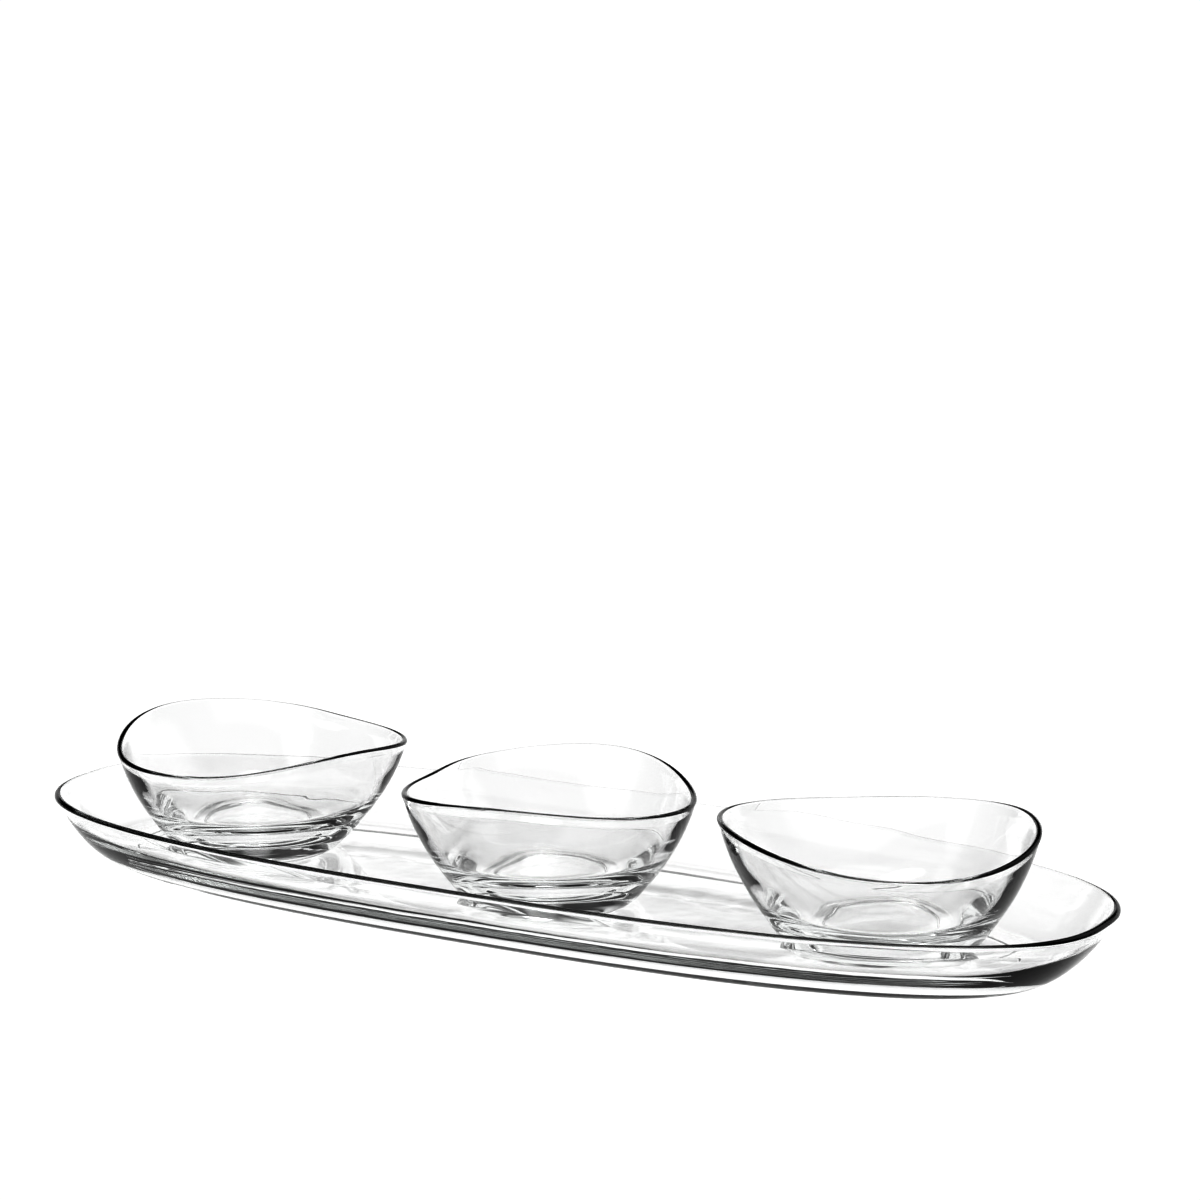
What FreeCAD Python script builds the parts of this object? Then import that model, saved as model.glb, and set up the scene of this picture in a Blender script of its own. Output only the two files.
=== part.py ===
import FreeCAD, Part
import math
import os

# Chip and dip server: a long oval glass tray with three loose wavy-rimmed glass bowls
# standing in a row on its floor. Sizes in millimetres. +Z is up, +X runs along the tray,
# and the origin is on the resting plane under the middle of the tray.

# --- tray -------------------------------------------------------------------------------
TRAY_RIM_HALF_LENGTH = 216.0   # to the middle of the rim bead
TRAY_RIM_HALF_WIDTH = 74.2
TRAY_RIM_HEIGHT = 22.9
TRAY_BASE_HALF_LENGTH = 192.0  # where the flat underside turns up into the wall
TRAY_BASE_HALF_WIDTH = 57.0
TRAY_FLOOR_HALF_LENGTH = 195.0  # flat part of the floor
TRAY_FLOOR_HALF_WIDTH = 57.0
TRAY_FLOOR_TOP = 4.5
TRAY_FLOOR_CURVE_TOP = 17.0    # height where the floor's curve has become the wall
TRAY_WALL = 2.4                # horizontal thickness of the lower wall
TRAY_WALL_AT_RIM = 2.4
TRAY_BEAD_RADIUS = 1.4
TRAY_BEAD_TILT = 22.0          # degrees the wall leans out at the rim
OVAL_EXPONENT = 2.58           # 2 is an ellipse; more is fuller at the corners
TRAY_FOOT_WIDTH = 9.0          # flat resting band between wall and underside recess
TRAY_RECESS_DEPTH = 0.4

# --- bowls ------------------------------------------------------------------------------
BOWL_RIM_RADIUS = 53.7         # mean, to the middle of the rim bead
BOWL_RIM_HEIGHT = 42.9         # mean, above the bowl's own foot
BOWL_FOOT_RADIUS = 30.2
BOWL_WALL_FLARE = 1.58         # 1 is a straight cone; more bulges the lower wall out
BOWL_BASE_THICKNESS = 10.0
BOWL_FLOOR_RADIUS = 18.0       # flat disc in the bottom of the bowl
BOWL_FLOOR_CURVE_TOP = 22.0
BOWL_WALL = 3.4
BOWL_WALL_AT_RIM = 1.7
BOWL_BEAD_RADIUS = 1.0
BOWL_BEAD_TILT = 15.0
BOWL_FOOT_EDGE = 2.5           # size of the rounded foot corner
BOWL_RECESS_RADIUS = 21.5
BOWL_RECESS_DEPTH = 0.6
STANDING_GAP = 0.1             # air film between a bowl's foot and the tray floor

# The wavy rim: (waves around the rim, size in mm, angle in degrees of a crest).
RIM_HEIGHT_WAVES = ((2, 2.6, 0.0), (1, 1.77, -45.0), (4, 0.56, 0.0), (3, 0.42, 48.0))
RIM_RADIUS_WAVES = ((3, 2.4, -25.0), (2, 2.07, 7.5), (4, 1.0, 53.0), (5, 0.7, 17.0))

# Where each bowl stands on the tray and how far it is turned: x, y, degrees.
BOWL_PLACES = {
    "bowl_left": (-133.8, 0.6, 164.0),
    "bowl_middle": (3.7, -7.9, 275.5),
    "bowl_right": (137.8, -8.9, 217.0),
}

TRAY_SECTIONS = 144
BOWL_SECTIONS = 72


def blend(low, high, share):
    return low + (high - low) * share


def wave(waves, angle):
    total = 0.0
    for count, size, crest in waves:
        total += size * math.cos(count * (angle - math.radians(crest)))
    return total


def bead(radius, tilt, steps=12):
    """Half circle over the top of a rim, from its inner side to its outer side."""
    points = []
    for step in range(steps + 1):
        turn = math.radians(180.0 - tilt - 180.0 * step / steps)
        points.append((radius * math.cos(turn), radius * math.sin(turn)))
    return points


def skin(section, count):
    """Smooth glass surface steered by the same section taken all the way round."""
    columns = [section(2.0 * math.pi * index / count) for index in range(count)]
    rows = [list(row) for row in zip(*columns)]
    length = len(rows)
    spans = length - 3
    surface = Part.BSplineSurface()
    surface.buildFromPolesMultsKnots(
        rows, [4] + [1] * (spans - 1) + [4], [1] * (count + 1),
        list(range(spans + 1)), list(range(count + 1)), False, True, 3, 3)
    return surface.toShape()


def casting(section, count):
    """Solid between the skin and flat faces that close its two round ends."""
    side = skin(section, count)
    ends = [edge for edge in side.Edges if edge.isClosed()]
    caps = [Part.Face(Part.Wire([edge])) for edge in ends]
    joined = Part.makeCompound([side] + caps)
    joined.sewShape()
    solid = Part.Solid(joined.Shells[0])
    if solid.Volume < 0:
        solid.reverse()
    return solid


# --- bowl shape -------------------------------------------------------------------------
def bowl_outer(share, rim_radius):
    spread = BOWL_WALL_FLARE * share - (BOWL_WALL_FLARE - 1.0) * share * share
    return BOWL_FOOT_RADIUS + (rim_radius - BOWL_FOOT_RADIUS) * spread


def bowl_profile(rim_radius, rim_height):
    """Half section (radius, height) from the inner floor over the rim to the foot."""
    lean = BOWL_WALL_AT_RIM / 2.0
    below_bead = rim_height - 2.2 * BOWL_BEAD_RADIUS

    def outer(height):
        return bowl_outer(height / rim_height, rim_radius + lean)

    def inner(height):
        share = (height - BOWL_FLOOR_CURVE_TOP) / (rim_height - BOWL_FLOOR_CURVE_TOP)
        return outer(height) - blend(BOWL_WALL, BOWL_WALL_AT_RIM, max(share, 0.0))

    points = []
    for step in range(15):
        turn = math.radians(90.0 * step / 15)
        rise = BOWL_FLOOR_CURVE_TOP - BOWL_BASE_THICKNESS
        height = BOWL_BASE_THICKNESS + rise * (1.0 - math.cos(turn))
        reach = inner(height) - BOWL_FLOOR_RADIUS
        points.append((BOWL_FLOOR_RADIUS + reach * math.sin(turn), height))
    for step in range(11):
        height = blend(BOWL_FLOOR_CURVE_TOP, below_bead, step / 10)
        points.append((inner(height), height))
    for out, up in bead(BOWL_BEAD_RADIUS, BOWL_BEAD_TILT):
        points.append((rim_radius + out, rim_height + up))
    for step in range(17):
        height = blend(below_bead, BOWL_FOOT_EDGE, step / 16)
        points.append((outer(height), height))
    start = outer(BOWL_FOOT_EDGE)
    end = BOWL_FOOT_RADIUS - BOWL_FOOT_EDGE
    for step in range(1, 7):
        share = step / 6
        keep = (1.0 - share) ** 2
        turn = 2.0 * share * (1.0 - share)
        radius = keep * start + turn * BOWL_FOOT_RADIUS + share ** 2 * end
        points.append((radius, keep * BOWL_FOOT_EDGE))
    return points


def bowl_section(angle):
    rim_radius = BOWL_RIM_RADIUS + wave(RIM_RADIUS_WAVES, angle)
    rim_height = BOWL_RIM_HEIGHT + wave(RIM_HEIGHT_WAVES, angle)
    points = []
    for radius, height in bowl_profile(rim_radius, rim_height):
        points.append(FreeCAD.Vector(radius * math.cos(angle), radius * math.sin(angle), height))
    return points


def make_bowl():
    bowl = casting(bowl_section, BOWL_SECTIONS)
    recess = Part.makeCone(BOWL_RECESS_RADIUS + BOWL_RECESS_DEPTH, BOWL_RECESS_RADIUS,
                           BOWL_RECESS_DEPTH)
    return bowl.cut(recess)


# --- tray shape -------------------------------------------------------------------------
def oval_point(half_length, half_width, height, angle):
    """Point on a full-cornered oval, evenly spread like the points of an ellipse."""
    along = TRAY_RIM_HALF_LENGTH * math.cos(angle)
    across = TRAY_RIM_HALF_WIDTH * math.sin(angle)
    span = math.hypot(along, across)
    size = abs(along / span / half_length) ** OVAL_EXPONENT
    size += abs(across / span / half_width) ** OVAL_EXPONENT
    radius = size ** (-1.0 / OVAL_EXPONENT)
    return FreeCAD.Vector(radius * along / span, radius * across / span, height)


def tray_outer(height):
    share = math.sqrt(height / TRAY_RIM_HEIGHT)
    lean = TRAY_WALL_AT_RIM / 2.0
    half_length = blend(TRAY_BASE_HALF_LENGTH, TRAY_RIM_HALF_LENGTH + lean, share)
    half_width = blend(TRAY_BASE_HALF_WIDTH, TRAY_RIM_HALF_WIDTH + lean, share)
    return half_length, half_width


def tray_inner(height):
    rise = TRAY_RIM_HEIGHT - TRAY_FLOOR_CURVE_TOP
    share = max((height - TRAY_FLOOR_CURVE_TOP) / rise, 0.0)
    wall = blend(TRAY_WALL, TRAY_WALL_AT_RIM, share)
    half_length, half_width = tray_outer(height)
    return half_length - wall, half_width - wall


def tray_stations():
    """Ovals (half length, half width, height) from the floor over the rim to the base."""
    below_bead = TRAY_RIM_HEIGHT - 2.2 * TRAY_BEAD_RADIUS
    stations = []
    for step in range(16):
        turn = math.radians(90.0 * step / 16)
        rise = TRAY_FLOOR_CURVE_TOP - TRAY_FLOOR_TOP
        height = TRAY_FLOOR_TOP + rise * (1.0 - math.cos(turn))
        half_length, half_width = tray_inner(height)
        stations.append((blend(TRAY_FLOOR_HALF_LENGTH, half_length, math.sin(turn)),
                         blend(TRAY_FLOOR_HALF_WIDTH, half_width, math.sin(turn)), height))
    for step in range(4):
        height = blend(TRAY_FLOOR_CURVE_TOP, below_bead, step / 3)
        stations.append(tray_inner(height) + (height,))
    for out, up in bead(TRAY_BEAD_RADIUS, TRAY_BEAD_TILT):
        stations.append((TRAY_RIM_HALF_LENGTH + out, TRAY_RIM_HALF_WIDTH + out,
                         TRAY_RIM_HEIGHT + up))
    for step in range(17):
        height = below_bead * (1.0 - step / 16) ** 2
        stations.append(tray_outer(height) + (height,))
    return stations


def tray_section(angle):
    return [oval_point(length, width, height, angle) for length, width, height in STATIONS]


def oval_prism(half_length, half_width, depth):
    points = []
    for index in range(TRAY_SECTIONS):
        angle = 2.0 * math.pi * index / TRAY_SECTIONS
        points.append(oval_point(half_length, half_width, 0.0, angle))
    curve = Part.BSplineCurve()
    curve.interpolate(points, PeriodicFlag=True)
    face = Part.Face(Part.Wire([curve.toShape()]))
    return face.extrude(FreeCAD.Vector(0, 0, depth))


def make_tray():
    tray = casting(tray_section, TRAY_SECTIONS)
    recess = oval_prism(TRAY_BASE_HALF_LENGTH - TRAY_FOOT_WIDTH,
                        TRAY_BASE_HALF_WIDTH - TRAY_FOOT_WIDTH, TRAY_RECESS_DEPTH)
    return tray.cut(recess)


def save(shape, node):
    solids = shape.Solids
    box = shape.BoundBox
    print(node, "valid", shape.isValid(), "solids", len(solids),
          "cm3", round(shape.Volume / 1000.0, 1),
          "x", round(box.XMin, 2), round(box.XMax, 2),
          "y", round(box.YMin, 2), round(box.YMax, 2),
          "z", round(box.ZMin, 2), round(box.ZMax, 2))
    solids[0].exportStep("parts/" + node + ".step")


os.makedirs("parts", exist_ok=True)
STATIONS = tray_stations()
save(make_tray(), "tray")
bowl_shape = make_bowl()
for name, (x, y, turn) in BOWL_PLACES.items():
    placed = bowl_shape.copy()
    placed.rotate(FreeCAD.Vector(0, 0, 0), FreeCAD.Vector(0, 0, 1), turn)
    placed.translate(FreeCAD.Vector(x, y, TRAY_FLOOR_TOP + STANDING_GAP))
    save(placed, name)
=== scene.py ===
import math

import bpy
import bmesh
from mathutils import Vector, Matrix, noise


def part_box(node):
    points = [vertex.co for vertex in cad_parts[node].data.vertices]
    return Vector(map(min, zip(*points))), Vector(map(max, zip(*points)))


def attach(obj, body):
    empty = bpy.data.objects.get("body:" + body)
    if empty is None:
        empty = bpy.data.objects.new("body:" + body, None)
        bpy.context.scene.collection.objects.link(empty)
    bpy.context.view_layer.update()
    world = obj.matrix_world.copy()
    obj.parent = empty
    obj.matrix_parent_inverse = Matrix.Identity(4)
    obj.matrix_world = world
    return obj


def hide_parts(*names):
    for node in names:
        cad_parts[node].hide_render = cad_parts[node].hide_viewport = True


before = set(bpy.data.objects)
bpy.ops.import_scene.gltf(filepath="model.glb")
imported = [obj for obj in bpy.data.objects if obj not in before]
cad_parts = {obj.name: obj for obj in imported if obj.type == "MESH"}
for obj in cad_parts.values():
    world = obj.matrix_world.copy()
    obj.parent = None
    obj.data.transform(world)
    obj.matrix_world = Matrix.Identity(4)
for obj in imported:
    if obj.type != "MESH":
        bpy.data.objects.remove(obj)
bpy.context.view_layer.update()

# Chip and dip server: a long oval glass tray with three loose wavy-rimmed glass bowls.
# The glass sections below are those of the CAD, in millimetres; fit_to_node() then brings
# every mesh to its CAD body's box, in metres.

# ---------------------------------------------------------------- tray sizes, mm
TRAY_RIM_HALF_LENGTH = 216.0    # to the middle of the rim bead
TRAY_RIM_HALF_WIDTH = 74.2
TRAY_RIM_HEIGHT = 22.9
TRAY_BASE_HALF_LENGTH = 192.0   # where the flat underside turns up into the wall
TRAY_BASE_HALF_WIDTH = 57.0
TRAY_FLOOR_HALF_LENGTH = 195.0  # flat part of the floor
TRAY_FLOOR_HALF_WIDTH = 57.0
TRAY_FLOOR_TOP = 4.5
TRAY_FLOOR_CURVE_TOP = 17.0     # height where the floor's curve has become the wall
TRAY_WALL = 2.4
TRAY_WALL_AT_RIM = 2.4
TRAY_BEAD_RADIUS = 1.4
TRAY_BEAD_TILT = 22.0           # degrees the wall leans out at the rim
OVAL_EXPONENT = 2.58            # 2 is an ellipse; more is fuller at the corners
TRAY_FOOT_WIDTH = 9.0           # flat resting band round the underside recess
TRAY_RECESS_DEPTH = 0.4
# The recess's edge slopes between these two places, outward from the band's inner line.
TRAY_RECESS_SLOPE = (0.8, -0.6)

# ---------------------------------------------------------------- bowl sizes, mm
BOWL_RIM_RADIUS = 53.7          # mean, to the middle of the rim bead
BOWL_RIM_HEIGHT = 42.9          # mean
BOWL_FOOT_RADIUS = 30.2
BOWL_WALL_FLARE = 1.58          # 1 is a straight cone; more bulges the lower wall out
BOWL_BASE_THICKNESS = 10.0
BOWL_FLOOR_RADIUS = 18.0        # flat disc in the bottom of the bowl
BOWL_FLOOR_CURVE_TOP = 22.0
BOWL_WALL = 3.4
BOWL_WALL_AT_RIM = 1.7
BOWL_BEAD_RADIUS = 1.0
BOWL_BEAD_TILT = 15.0
BOWL_FOOT_EDGE = 2.5            # size of the rounded foot corner
BOWL_RECESS_RADIUS = 21.5
BOWL_RECESS_DEPTH = 0.6
BOWL_RECESS_SLOPE = 0.4         # how far the recess's edge spreads to either side

# The wavy rim: (waves around the rim, size in mm, angle in degrees of a crest).
RIM_HEIGHT_WAVES = ((2, 2.6, 0.0), (1, 1.77, -45.0), (4, 0.56, 0.0), (3, 0.42, 48.0))
RIM_RADIUS_WAVES = ((3, 2.4, -25.0), (2, 2.07, 7.5), (4, 1.0, 53.0), (5, 0.7, 17.0))
BOWL_TURNS = {"bowl_left": 164.0, "bowl_middle": 275.5, "bowl_right": 217.0}

BEADS_BELOW_RIM = 2.2           # the walls stop this many bead radii below the rim

# Slight unevenness that pressing leaves in the glass faces, in mm.
TRAY_WAVINESS = 0.05
BOWL_WAVINESS = 0.08
WAVINESS_LENGTHS = (22.0, 22.0, 9.0)
WAVINESS_SEED_STEP = (37.1, 11.3, 5.7)

# ---------------------------------------------------------------- mesh fineness
TRAY_COLUMNS = 360
BOWL_COLUMNS = 240
BEAD_STEPS = 16
BOWL_FLOOR_STEPS = 14
BOWL_CURVE_STEPS = 24
BOWL_INNER_STEPS = 15
BOWL_OUTER_STEPS = 30
BOWL_FOOT_EDGE_STEPS = 8
TRAY_FLOOR_STEPS = 20
TRAY_CURVE_STEPS = 28
TRAY_INNER_STEPS = 5
TRAY_OUTER_STEPS = 28
FOOT_STEPS = 4
RECESS_SLOPE_STEPS = 8

# ---------------------------------------------------------------- glass
GLASS_IOR = 1.51
GLASS_DENSITY = 2.0
TRAY_TINT = (0.86, 0.93, 0.9, 1.0)
BOWL_TINT = (0.88, 0.93, 0.91, 1.0)
TRAY_SMEAR_SCALE = 30.0
BOWL_SMEAR_SCALE = 45.0
SMEAR_DETAIL = 4.0
SMEAR_SPREAD = (0.45, 0.8)      # noise values where a smear begins and is full
SMEAR_ROUGHNESS = 0.008
RIPPLE_SCALE = 55.0
RIPPLE_DETAIL = 2.0
RIPPLE_STRENGTH = 0.06
RIPPLE_DISTANCE = 0.0012

# ---------------------------------------------------------------- studio
FLOOR_REACH = 6.0
FLOOR_DROP = 0.0003             # keeps the floor off the plane of the tray's foot

# Soft lights: (turn right of straight behind the object, rise, edge, core, strength), the
# first four in degrees. A wall light also fades out upward, between the sines of two
# elevations.
BACK_WALL = (15.0, 0.0, 62.0, 40.0, 1.0)
BACK_WALL_TOP = (0.24, 0.34)
FRONT_WALL = (195.0, 0.0, 72.0, 48.0, 0.9)
FRONT_WALL_TOP = (0.36, 0.48)
OVERHEAD = (0.0, 90.0, 44.0, 30.0, 0.5)
LAMP = (0.0, 90.0, 15.0, 7.0, 3.5)
RIGHT_BOX = (62.0, 35.0, 32.0, 18.0, 0.9)
LEFT_BOX = (-118.0, 25.0, 20.0, 10.0, 0.9)

EXPOSURE = 0.1
GAMMA = 0.5                     # gives the picture its hard contrast
GLASS_BOUNCES = 32
GLOSSY_BOUNCES = 10

# ---------------------------------------------------------------- camera
CAMERA_AZIMUTH = 30.655
CAMERA_ELEVATION = 16.332
CAMERA_DISTANCE = 1.23735
CAMERA_AIM = Vector((0.00225, 0.0319, 0.10963))
CAMERA_ROLL = -0.2406
CAMERA_CLIP = (0.05, 50.0)
LENS = 99.632
SENSOR_WIDTH = 36.0


def blend(low, high, share):
    return low + (high - low) * share


def ease(share):
    return 3 * share ** 2 - 2 * share ** 3


def wave(waves, angle):
    return sum(size * math.cos(count * (angle - math.radians(crest)))
               for count, size, crest in waves)


def bead(radius, tilt):
    """Half circle over the top of a rim, from its inner side to its outer side."""
    points = []
    for step in range(BEAD_STEPS + 1):
        turn = math.radians(180.0 - tilt - 180.0 * step / BEAD_STEPS)
        points.append((radius * math.cos(turn), radius * math.sin(turn)))
    return points


# ---------------------------------------------------------------- bowl section
def bowl_profile(rim_radius, rim_height):
    """(radius, height) down one side, from the floor's middle over the rim to the foot's."""
    lean = BOWL_WALL_AT_RIM / 2.0
    below_bead = rim_height - BEADS_BELOW_RIM * BOWL_BEAD_RADIUS

    def outer(height):
        share = height / rim_height
        spread = BOWL_WALL_FLARE * share - (BOWL_WALL_FLARE - 1.0) * share * share
        return BOWL_FOOT_RADIUS + (rim_radius + lean - BOWL_FOOT_RADIUS) * spread

    def inner(height):
        share = (height - BOWL_FLOOR_CURVE_TOP) / (rim_height - BOWL_FLOOR_CURVE_TOP)
        return outer(height) - blend(BOWL_WALL, BOWL_WALL_AT_RIM, max(share, 0.0))

    points = []
    for step in range(BOWL_FLOOR_STEPS):
        points.append((BOWL_FLOOR_RADIUS * step / BOWL_FLOOR_STEPS, BOWL_BASE_THICKNESS))
    for step in range(BOWL_CURVE_STEPS):
        turn = math.radians(90.0 * step / BOWL_CURVE_STEPS)
        rise = BOWL_FLOOR_CURVE_TOP - BOWL_BASE_THICKNESS
        height = BOWL_BASE_THICKNESS + rise * (1.0 - math.cos(turn))
        reach = inner(height) - BOWL_FLOOR_RADIUS
        points.append((BOWL_FLOOR_RADIUS + reach * math.sin(turn), height))
    for step in range(BOWL_INNER_STEPS + 1):
        height = blend(BOWL_FLOOR_CURVE_TOP, below_bead, step / BOWL_INNER_STEPS)
        points.append((inner(height), height))
    for out, up in bead(BOWL_BEAD_RADIUS, BOWL_BEAD_TILT):
        points.append((rim_radius + out, rim_height + up))
    for step in range(BOWL_OUTER_STEPS + 1):
        height = blend(below_bead, BOWL_FOOT_EDGE, step / BOWL_OUTER_STEPS)
        points.append((outer(height), height))
    start = outer(BOWL_FOOT_EDGE)
    end = BOWL_FOOT_RADIUS - BOWL_FOOT_EDGE
    for step in range(1, BOWL_FOOT_EDGE_STEPS + 1):
        share = step / BOWL_FOOT_EDGE_STEPS
        keep = (1.0 - share) ** 2
        turn = 2.0 * share * (1.0 - share)
        points.append((keep * start + turn * BOWL_FOOT_RADIUS + share ** 2 * end,
                       keep * BOWL_FOOT_EDGE))
    foot_inside = BOWL_RECESS_RADIUS + BOWL_RECESS_DEPTH + BOWL_RECESS_SLOPE
    recess_outside = BOWL_RECESS_RADIUS - BOWL_RECESS_SLOPE
    for step in range(1, FOOT_STEPS + 1):
        points.append((blend(end, foot_inside, step / FOOT_STEPS), 0.0))
    for step in range(1, RECESS_SLOPE_STEPS + 1):
        share = step / RECESS_SLOPE_STEPS
        points.append((blend(foot_inside, recess_outside, share),
                       BOWL_RECESS_DEPTH * ease(share)))
    for step in range(1, BOWL_FLOOR_STEPS + 1):
        points.append((recess_outside * (1.0 - step / BOWL_FLOOR_STEPS), BOWL_RECESS_DEPTH))
    return points


def bowl_section(angle):
    rim_radius = BOWL_RIM_RADIUS + wave(RIM_RADIUS_WAVES, angle)
    rim_height = BOWL_RIM_HEIGHT + wave(RIM_HEIGHT_WAVES, angle)
    return [(radius * math.cos(angle), radius * math.sin(angle), height)
            for radius, height in bowl_profile(rim_radius, rim_height)]


# ---------------------------------------------------------------- tray section
def oval_point(half_length, half_width, height, angle):
    """Point on a full-cornered oval, in the direction that angle has on the rim's ellipse."""
    along = TRAY_RIM_HALF_LENGTH * math.cos(angle)
    across = TRAY_RIM_HALF_WIDTH * math.sin(angle)
    span = math.hypot(along, across)
    if half_length <= 0.0:
        return (0.0, 0.0, height)
    size = abs(along / span / half_length) ** OVAL_EXPONENT
    size += abs(across / span / half_width) ** OVAL_EXPONENT
    radius = size ** (-1.0 / OVAL_EXPONENT)
    return (radius * along / span, radius * across / span, height)


def tray_outer(height):
    share = math.sqrt(height / TRAY_RIM_HEIGHT)
    lean = TRAY_WALL_AT_RIM / 2.0
    return (blend(TRAY_BASE_HALF_LENGTH, TRAY_RIM_HALF_LENGTH + lean, share),
            blend(TRAY_BASE_HALF_WIDTH, TRAY_RIM_HALF_WIDTH + lean, share))


def tray_inner(height):
    share = (height - TRAY_FLOOR_CURVE_TOP) / (TRAY_RIM_HEIGHT - TRAY_FLOOR_CURVE_TOP)
    wall = blend(TRAY_WALL, TRAY_WALL_AT_RIM, max(share, 0.0))
    half_length, half_width = tray_outer(height)
    return half_length - wall, half_width - wall


def tray_stations():
    """(half length, half width, height) of the ovals from the floor's middle to the foot's."""
    below_bead = TRAY_RIM_HEIGHT - BEADS_BELOW_RIM * TRAY_BEAD_RADIUS
    stations = []
    for step in range(TRAY_FLOOR_STEPS):
        share = step / TRAY_FLOOR_STEPS
        stations.append((TRAY_FLOOR_HALF_LENGTH * share, TRAY_FLOOR_HALF_WIDTH * share,
                         TRAY_FLOOR_TOP))
    for step in range(TRAY_CURVE_STEPS):
        turn = math.radians(90.0 * step / TRAY_CURVE_STEPS)
        rise = TRAY_FLOOR_CURVE_TOP - TRAY_FLOOR_TOP
        height = TRAY_FLOOR_TOP + rise * (1.0 - math.cos(turn))
        half_length, half_width = tray_inner(height)
        stations.append((blend(TRAY_FLOOR_HALF_LENGTH, half_length, math.sin(turn)),
                         blend(TRAY_FLOOR_HALF_WIDTH, half_width, math.sin(turn)), height))
    for step in range(TRAY_INNER_STEPS + 1):
        height = blend(TRAY_FLOOR_CURVE_TOP, below_bead, step / TRAY_INNER_STEPS)
        stations.append(tray_inner(height) + (height,))
    for out, up in bead(TRAY_BEAD_RADIUS, TRAY_BEAD_TILT):
        stations.append((TRAY_RIM_HALF_LENGTH + out, TRAY_RIM_HALF_WIDTH + out,
                         TRAY_RIM_HEIGHT + up))
    for step in range(TRAY_OUTER_STEPS + 1):
        height = below_bead * (1.0 - step / TRAY_OUTER_STEPS) ** 2
        stations.append(tray_outer(height) + (height,))
    length = TRAY_BASE_HALF_LENGTH - TRAY_FOOT_WIDTH
    width = TRAY_BASE_HALF_WIDTH - TRAY_FOOT_WIDTH
    foot_inside, recess_outside = TRAY_RECESS_SLOPE
    for step in range(1, FOOT_STEPS + 1):
        share = step / FOOT_STEPS
        stations.append((blend(TRAY_BASE_HALF_LENGTH, length + foot_inside, share),
                         blend(TRAY_BASE_HALF_WIDTH, width + foot_inside, share), 0.0))
    for step in range(1, RECESS_SLOPE_STEPS + 1):
        share = step / RECESS_SLOPE_STEPS
        stations.append((blend(length + foot_inside, length + recess_outside, share),
                         blend(width + foot_inside, width + recess_outside, share),
                         TRAY_RECESS_DEPTH * ease(share)))
    for step in range(1, TRAY_FLOOR_STEPS + 1):
        share = 1.0 - step / TRAY_FLOOR_STEPS
        stations.append(((length + recess_outside) * share, (width + recess_outside) * share,
                         TRAY_RECESS_DEPTH))
    return stations


# ---------------------------------------------------------------- mesh helpers
def lathe(name, sections, wobble):
    """Closed mesh from one section per angle, whose two ends meet on the middle line."""
    mesh = bmesh.new()
    count = len(sections)
    last = len(sections[0]) - 1
    top = mesh.verts.new(sections[0][0])
    bottom = mesh.verts.new(sections[0][last])
    columns = [[mesh.verts.new(section[i]) for i in range(1, last)] for section in sections]
    for index in range(count):
        here = columns[index]
        beside = columns[(index + 1) % count]
        mesh.faces.new((top, here[0], beside[0]))
        for i in range(len(here) - 1):
            mesh.faces.new((here[i], here[i + 1], beside[i + 1], beside[i]))
        mesh.faces.new((here[-1], bottom, beside[-1]))
    mesh.normal_update()
    moves = [(vert, vert.co + vert.normal * wobble(vert.co)) for vert in mesh.verts]
    for vert, place in moves:
        vert.co = place
    bmesh.ops.recalc_face_normals(mesh, faces=mesh.faces)
    for face in mesh.faces:
        face.smooth = True
    data = bpy.data.meshes.new(name)
    mesh.to_mesh(data)
    mesh.free()
    piece = bpy.data.objects.new(name, data)
    bpy.context.collection.objects.link(piece)
    return piece


def pressed_waviness(seed, size):
    offset = Vector([seed * step for step in WAVINESS_SEED_STEP])

    def wobble(place):
        stretched = Vector([at / length for at, length in zip(place, WAVINESS_LENGTHS)])
        return size * noise.noise(stretched + offset)

    return wobble


def fit_to_node(piece, node):
    """Moves and scales the mesh so that its box is exactly the CAD body's box."""
    low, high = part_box(node)
    places = [vert.co for vert in piece.data.vertices]
    now_low = [min(place[axis] for place in places) for axis in range(3)]
    now_high = [max(place[axis] for place in places) for axis in range(3)]
    for place in places:
        for axis in range(3):
            share = (place[axis] - now_low[axis]) / (now_high[axis] - now_low[axis])
            place[axis] = low[axis] + share * (high[axis] - low[axis])


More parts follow.
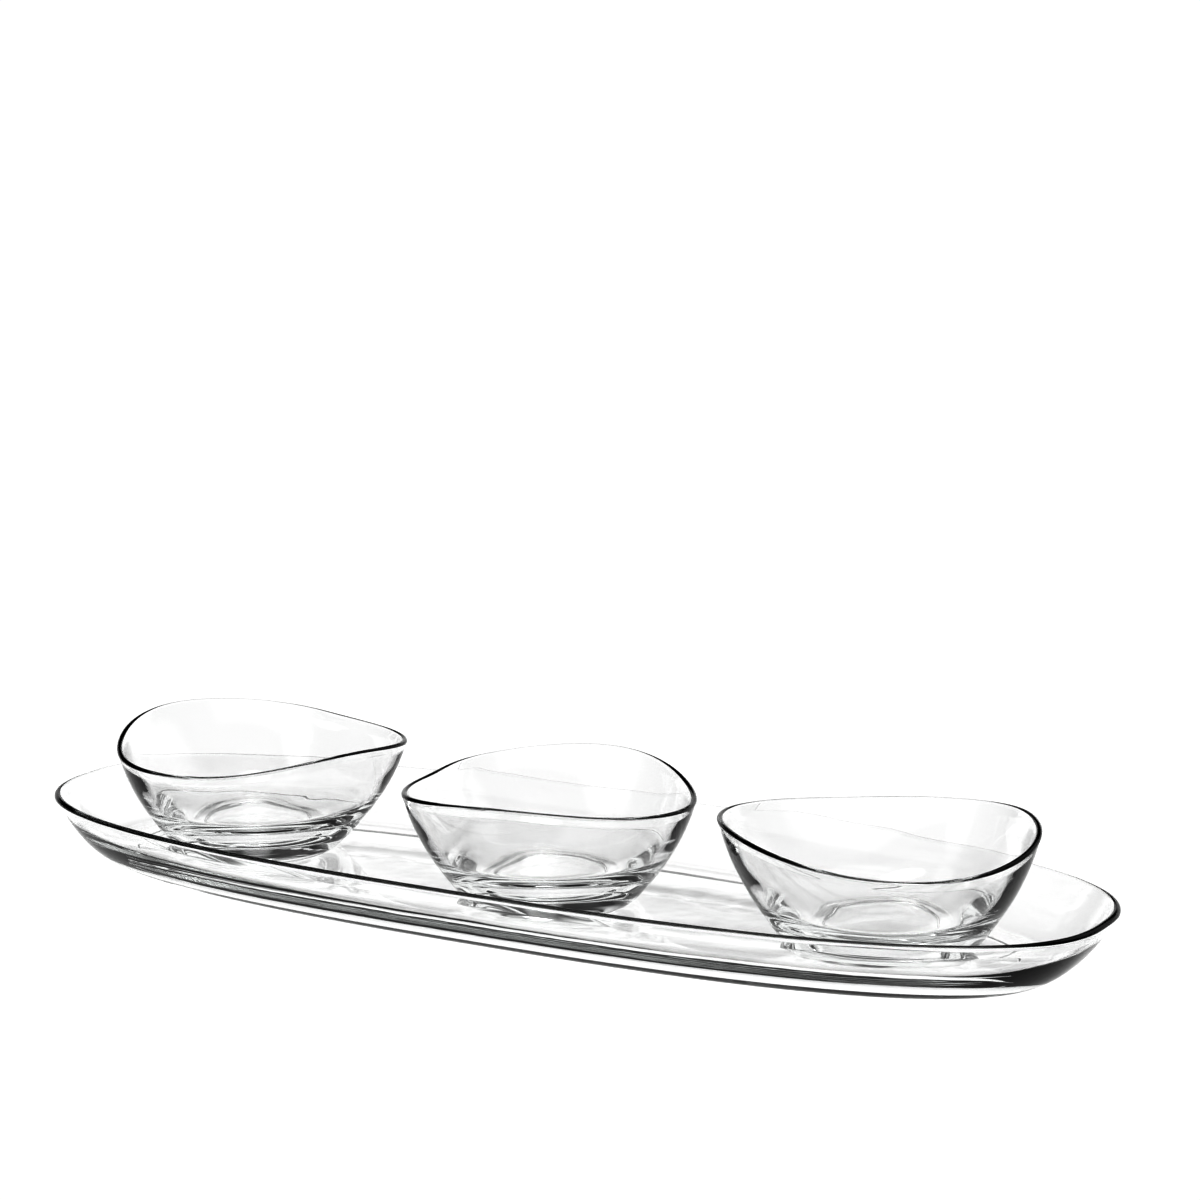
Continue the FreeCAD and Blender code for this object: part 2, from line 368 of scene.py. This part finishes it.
# ---------------------------------------------------------------- materials
def glass(name, tint, smear_scale):
    """Clear glass with faint smears in its gloss, soft ripples and a slight tint in depth."""
    material = bpy.data.materials.new(name)
    material.use_nodes = True
    tree = material.node_tree
    nodes, links = tree.nodes, tree.links
    shader = nodes["Principled BSDF"]
    output = nodes["Material Output"]
    shader.inputs["Base Color"].default_value = (1.0, 1.0, 1.0, 1.0)
    shader.inputs["Transmission Weight"].default_value = 1.0
    shader.inputs["IOR"].default_value = GLASS_IOR
    place = nodes.new("ShaderNodeTexCoord")
    smear = nodes.new("ShaderNodeTexNoise")
    smear.inputs["Scale"].default_value = smear_scale
    smear.inputs["Detail"].default_value = SMEAR_DETAIL
    links.new(place.outputs["Object"], smear.inputs["Vector"])
    rough = nodes.new("ShaderNodeMapRange")
    rough.inputs["From Min"].default_value = SMEAR_SPREAD[0]
    rough.inputs["From Max"].default_value = SMEAR_SPREAD[1]
    rough.inputs["To Min"].default_value = 0.0
    rough.inputs["To Max"].default_value = SMEAR_ROUGHNESS
    links.new(smear.outputs["Fac"], rough.inputs["Value"])
    links.new(rough.outputs["Result"], shader.inputs["Roughness"])
    ripple = nodes.new("ShaderNodeTexNoise")
    ripple.inputs["Scale"].default_value = RIPPLE_SCALE
    ripple.inputs["Detail"].default_value = RIPPLE_DETAIL
    links.new(place.outputs["Object"], ripple.inputs["Vector"])
    bump = nodes.new("ShaderNodeBump")
    bump.inputs["Strength"].default_value = RIPPLE_STRENGTH
    bump.inputs["Distance"].default_value = RIPPLE_DISTANCE
    links.new(ripple.outputs["Fac"], bump.inputs["Height"])
    links.new(bump.outputs["Normal"], shader.inputs["Normal"])
    volume = nodes.new("ShaderNodeVolumeAbsorption")
    volume.inputs["Color"].default_value = tint
    volume.inputs["Density"].default_value = GLASS_DENSITY
    links.new(volume.outputs["Volume"], output.inputs["Volume"])
    return material


def glowing_white(name):
    """Gives out white light and takes none, so that no shadow falls on it."""
    material = bpy.data.materials.new(name)
    material.use_nodes = True
    shader = material.node_tree.nodes["Principled BSDF"]
    shader.inputs["Base Color"].default_value = (0.0, 0.0, 0.0, 1.0)
    shader.inputs["Roughness"].default_value = 1.0
    shader.inputs["Specular IOR Level"].default_value = 0.0
    shader.inputs["Emission Color"].default_value = (1.0, 1.0, 1.0, 1.0)
    shader.inputs["Emission Strength"].default_value = 1.0
    return material


# ---------------------------------------------------------------- glass pieces
tray_glass = glass("tray_glass", TRAY_TINT, TRAY_SMEAR_SCALE)
bowl_glass = glass("bowl_glass", BOWL_TINT, BOWL_SMEAR_SCALE)

stations = tray_stations()
tray_sections = []
for index in range(TRAY_COLUMNS):
    angle = 2.0 * math.pi * index / TRAY_COLUMNS
    tray_sections.append([oval_point(*station, angle) for station in stations])
tray = lathe("tray_glass_dish", tray_sections, pressed_waviness(1, TRAY_WAVINESS))
fit_to_node(tray, "tray")
tray.data.materials.append(tray_glass)
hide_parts("tray")
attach(tray, "tray")

bowl_sections = [bowl_section(2.0 * math.pi * index / BOWL_COLUMNS)
                 for index in range(BOWL_COLUMNS)]
for seed, (node, turn) in enumerate(BOWL_TURNS.items(), 2):
    bowl = lathe(node + "_wavy_glass", bowl_sections, pressed_waviness(seed, BOWL_WAVINESS))
    bowl.data.transform(Matrix.Rotation(math.radians(turn), 4, "Z"))
    fit_to_node(bowl, node)
    bowl.data.materials.append(bowl_glass)
    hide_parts(node)
    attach(bowl, node)

# ---------------------------------------------------------------- floor
floor_mesh = bpy.data.meshes.new("floor")
floor_mesh.from_pydata([(-FLOOR_REACH, -FLOOR_REACH, -FLOOR_DROP),
                        (FLOOR_REACH, -FLOOR_REACH, -FLOOR_DROP),
                        (FLOOR_REACH, FLOOR_REACH, -FLOOR_DROP),
                        (-FLOOR_REACH, FLOOR_REACH, -FLOOR_DROP)], [], [(0, 1, 2, 3)])
floor_mesh.materials.append(glowing_white("white_floor"))
floor = bpy.data.objects.new("floor", floor_mesh)
bpy.context.collection.objects.link(floor)

# ---------------------------------------------------------------- soft lights
azimuth = math.radians(CAMERA_AZIMUTH)
right_way = Vector((math.cos(azimuth), math.sin(azimuth), 0.0))
toward_camera = Vector((math.sin(azimuth), -math.cos(azimuth), 0.0))
up = Vector((0, 0, 1))

world = bpy.data.worlds.new("studio")
world.use_nodes = True
bpy.context.scene.world = world
tree = world.node_tree
sky = tree.nodes["Background"]
sky.inputs["Color"].default_value = (1.0, 1.0, 1.0, 1.0)
way = tree.nodes.new("ShaderNodeTexCoord")


def aim(turn, rise):
    """Direction turned right of straight behind the object and raised, both in degrees."""
    turn, rise = math.radians(turn), math.radians(rise)
    flat = right_way * math.sin(turn) - toward_camera * math.cos(turn)
    return flat * math.cos(rise) + up * math.sin(rise)


def along(axis):
    dot = tree.nodes.new("ShaderNodeVectorMath")
    dot.operation = "DOT_PRODUCT"
    dot.inputs[1].default_value = tuple(axis)
    tree.links.new(way.outputs["Generated"], dot.inputs[0])
    return dot.outputs["Value"]


def ramp(value, start, end, first, last):
    node = tree.nodes.new("ShaderNodeMapRange")
    node.interpolation_type = "SMOOTHSTEP"
    node.inputs["From Min"].default_value = start
    node.inputs["From Max"].default_value = end
    node.inputs["To Min"].default_value = first
    node.inputs["To Max"].default_value = last
    tree.links.new(value, node.inputs["Value"])
    return node.outputs["Result"]


def maths(operation, first, second):
    node = tree.nodes.new("ShaderNodeMath")
    node.operation = operation
    tree.links.new(first, node.inputs[0])
    tree.links.new(second, node.inputs[1])
    return node.outputs["Value"]


def soft_box(turn, rise, edge, core, strength):
    """Round soft light: full within core degrees of its middle, gone past edge degrees."""
    return ramp(along(aim(turn, rise)), math.cos(math.radians(edge)),
                math.cos(math.radians(core)), 0.0, strength)


def wall_light(box, top):
    """Soft light that fades out upward, between the sines of two elevations."""
    return maths("MULTIPLY", soft_box(*box), ramp(along(up), *top, 1.0, 0.0))


# The camera sees plain white; only reflections and refractions see the lights.
strength = tree.nodes.new("ShaderNodeLightPath").outputs["Is Camera Ray"]
for light in (wall_light(BACK_WALL, BACK_WALL_TOP), wall_light(FRONT_WALL, FRONT_WALL_TOP),
              soft_box(*OVERHEAD), soft_box(*LAMP), soft_box(*RIGHT_BOX), soft_box(*LEFT_BOX)):
    strength = maths("MAXIMUM", strength, light)
tree.links.new(strength, sky.inputs["Strength"])

# ---------------------------------------------------------------- camera and tone
elevation = math.radians(CAMERA_ELEVATION)
spot = (toward_camera * (CAMERA_DISTANCE * math.cos(elevation))
        + up * (CAMERA_DISTANCE * math.sin(elevation)))
back = (spot - CAMERA_AIM).normalized()
side = up.cross(back).normalized()
top = back.cross(side)
turned = Matrix((side, top, back)).transposed().to_4x4()
turned = turned @ Matrix.Rotation(math.radians(CAMERA_ROLL), 4, "Z")
camera_data = bpy.data.cameras.new("camera")
camera_data.lens = LENS
camera_data.sensor_width = SENSOR_WIDTH
camera_data.clip_start, camera_data.clip_end = CAMERA_CLIP
camera = bpy.data.objects.new("camera", camera_data)
bpy.context.collection.objects.link(camera)
camera.rotation_mode = "QUATERNION"
camera.location = spot
camera.rotation_quaternion = turned.to_quaternion()

bpy.context.scene.camera = camera

scene = bpy.context.scene
scene.view_settings.view_transform = "Standard"
scene.view_settings.exposure = EXPOSURE
scene.view_settings.gamma = GAMMA
scene.cycles.max_bounces = GLASS_BOUNCES
scene.cycles.transmission_bounces = GLASS_BOUNCES
scene.cycles.glossy_bounces = GLOSSY_BOUNCES
